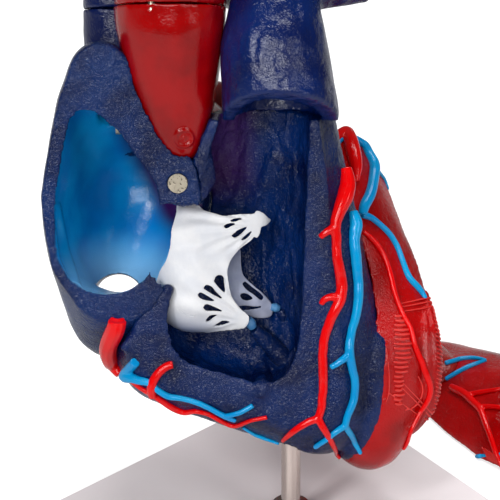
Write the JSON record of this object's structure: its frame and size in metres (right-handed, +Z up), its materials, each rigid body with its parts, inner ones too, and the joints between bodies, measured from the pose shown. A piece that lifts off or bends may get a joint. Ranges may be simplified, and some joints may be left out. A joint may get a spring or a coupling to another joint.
{
  "type": "heart anatomy model",
  "caption": "Leaning two-colour heart model on a rod and square plate, opened to show the right chambers, with its front and left walls lifted off and lying beside it.",
  "frame": {"origin": "centre of the stand's underside, on the axis of the rod", "axes": "+Z up along the rod; the opened right side of the heart faces -Y; +X runs from the right chambers to the left ventricle"},
  "size_m": [0.1822, 0.3072, 0.2316],
  "materials": {
    "plate_grey": "satin",
    "foot_rubber": "matte",
    "rod_steel": "brushed",
    "socket_grey": "satin",
    "atrium_blue": "gloss",
    "navy_vinyl": "gloss",
    "red_vinyl": "gloss",
    "brown_red": "satin",
    "valve_white": "matte",
    "tip_blue": "satin",
    "artery_red": "gloss",
    "vein_blue": "gloss",
    "magnet_nickel": "nickel plated"
  },
  "bodies": {
    "stand": {"base_plate": "plate_grey", "base_pad": "foot_rubber", "rod_bush": "rod_steel"},
    "post": {"rod": "rod_steel", "rod_collar": "rod_steel"},
    "heart": {"rod_socket": "socket_grey", "right_atrium": "atrium_blue", "right_ventricle": "navy_vinyl", "left_ventricle": "red_vinyl", "left_atrium": "brown_red", "aortic_root": "red_vinyl", "pulmonary_trunk": "navy_vinyl", "vena_cava_stump": "atrium_blue", "inferior_vena_cava": "atrium_blue", "pulmonary_veins": "brown_red", "tricuspid_front": "valve_white", "tricuspid_lower": "valve_white", "tricuspid_back": "valve_white", "papillary_muscles": "navy_vinyl", "papillary_tips": "tip_blue", "pulmonary_valve": "navy_vinyl", "mitral_valve": "valve_white", "left_papillary": "red_vinyl", "aortic_valve": "valve_white", "descending_artery": "artery_red", "lateral_artery": "artery_red", "right_coronary": "artery_red", "marginal_artery": "artery_red", "back_artery": "artery_red", "great_vein": "vein_blue", "lateral_vein": "vein_blue", "small_vein": "vein_blue", "coronary_sinus": "vein_blue", "heart_magnets": "magnet_nickel"},
    "crown": {"aortic_arch": "red_vinyl", "arch_branches": "red_vinyl", "upper_vena_cava": "atrium_blue", "crown_web": "atrium_blue", "crown_magnets": "magnet_nickel"},
    "front_wall": {"front_ventricle_wall": "navy_vinyl", "front_atrium_wall": "atrium_blue", "right_auricle": "atrium_blue", "front_artery": "artery_red", "front_vein": "vein_blue", "front_magnets": "magnet_nickel"},
    "side_wall": {"left_wall": "red_vinyl", "left_auricle": "brown_red", "left_wall_artery": "artery_red", "left_wall_vein": "vein_blue", "left_wall_magnets": "magnet_nickel"}
  },
  "joints": [
    {"name": "turn", "type": "hinge", "parent": "stand", "child": "post", "pos_m": [0, 0, 0.0115], "axis": [0, 0, 1], "continuous": true},
    {"name": "lift", "type": "slide", "parent": "post", "child": "heart", "axis": [0, 0, 1], "range_m": [0, 0.05]},
    {"name": "crown_lift", "type": "slide", "parent": "heart", "child": "crown", "axis": [0, 0.342, 0.9397], "range_m": [0, 0.06]},
    {"name": "front_wall_swing", "type": "hinge", "parent": "heart", "child": "front_wall", "pos_m": [0, -0.04203, 0.0132], "axis": [-1, 0, 0], "range_deg": [0, 110]},
    {"name": "side_wall_lift", "type": "slide", "parent": "heart", "child": "side_wall", "axis": [0, 0, 1], "range_m": [0, 0.05]}
  ]
}
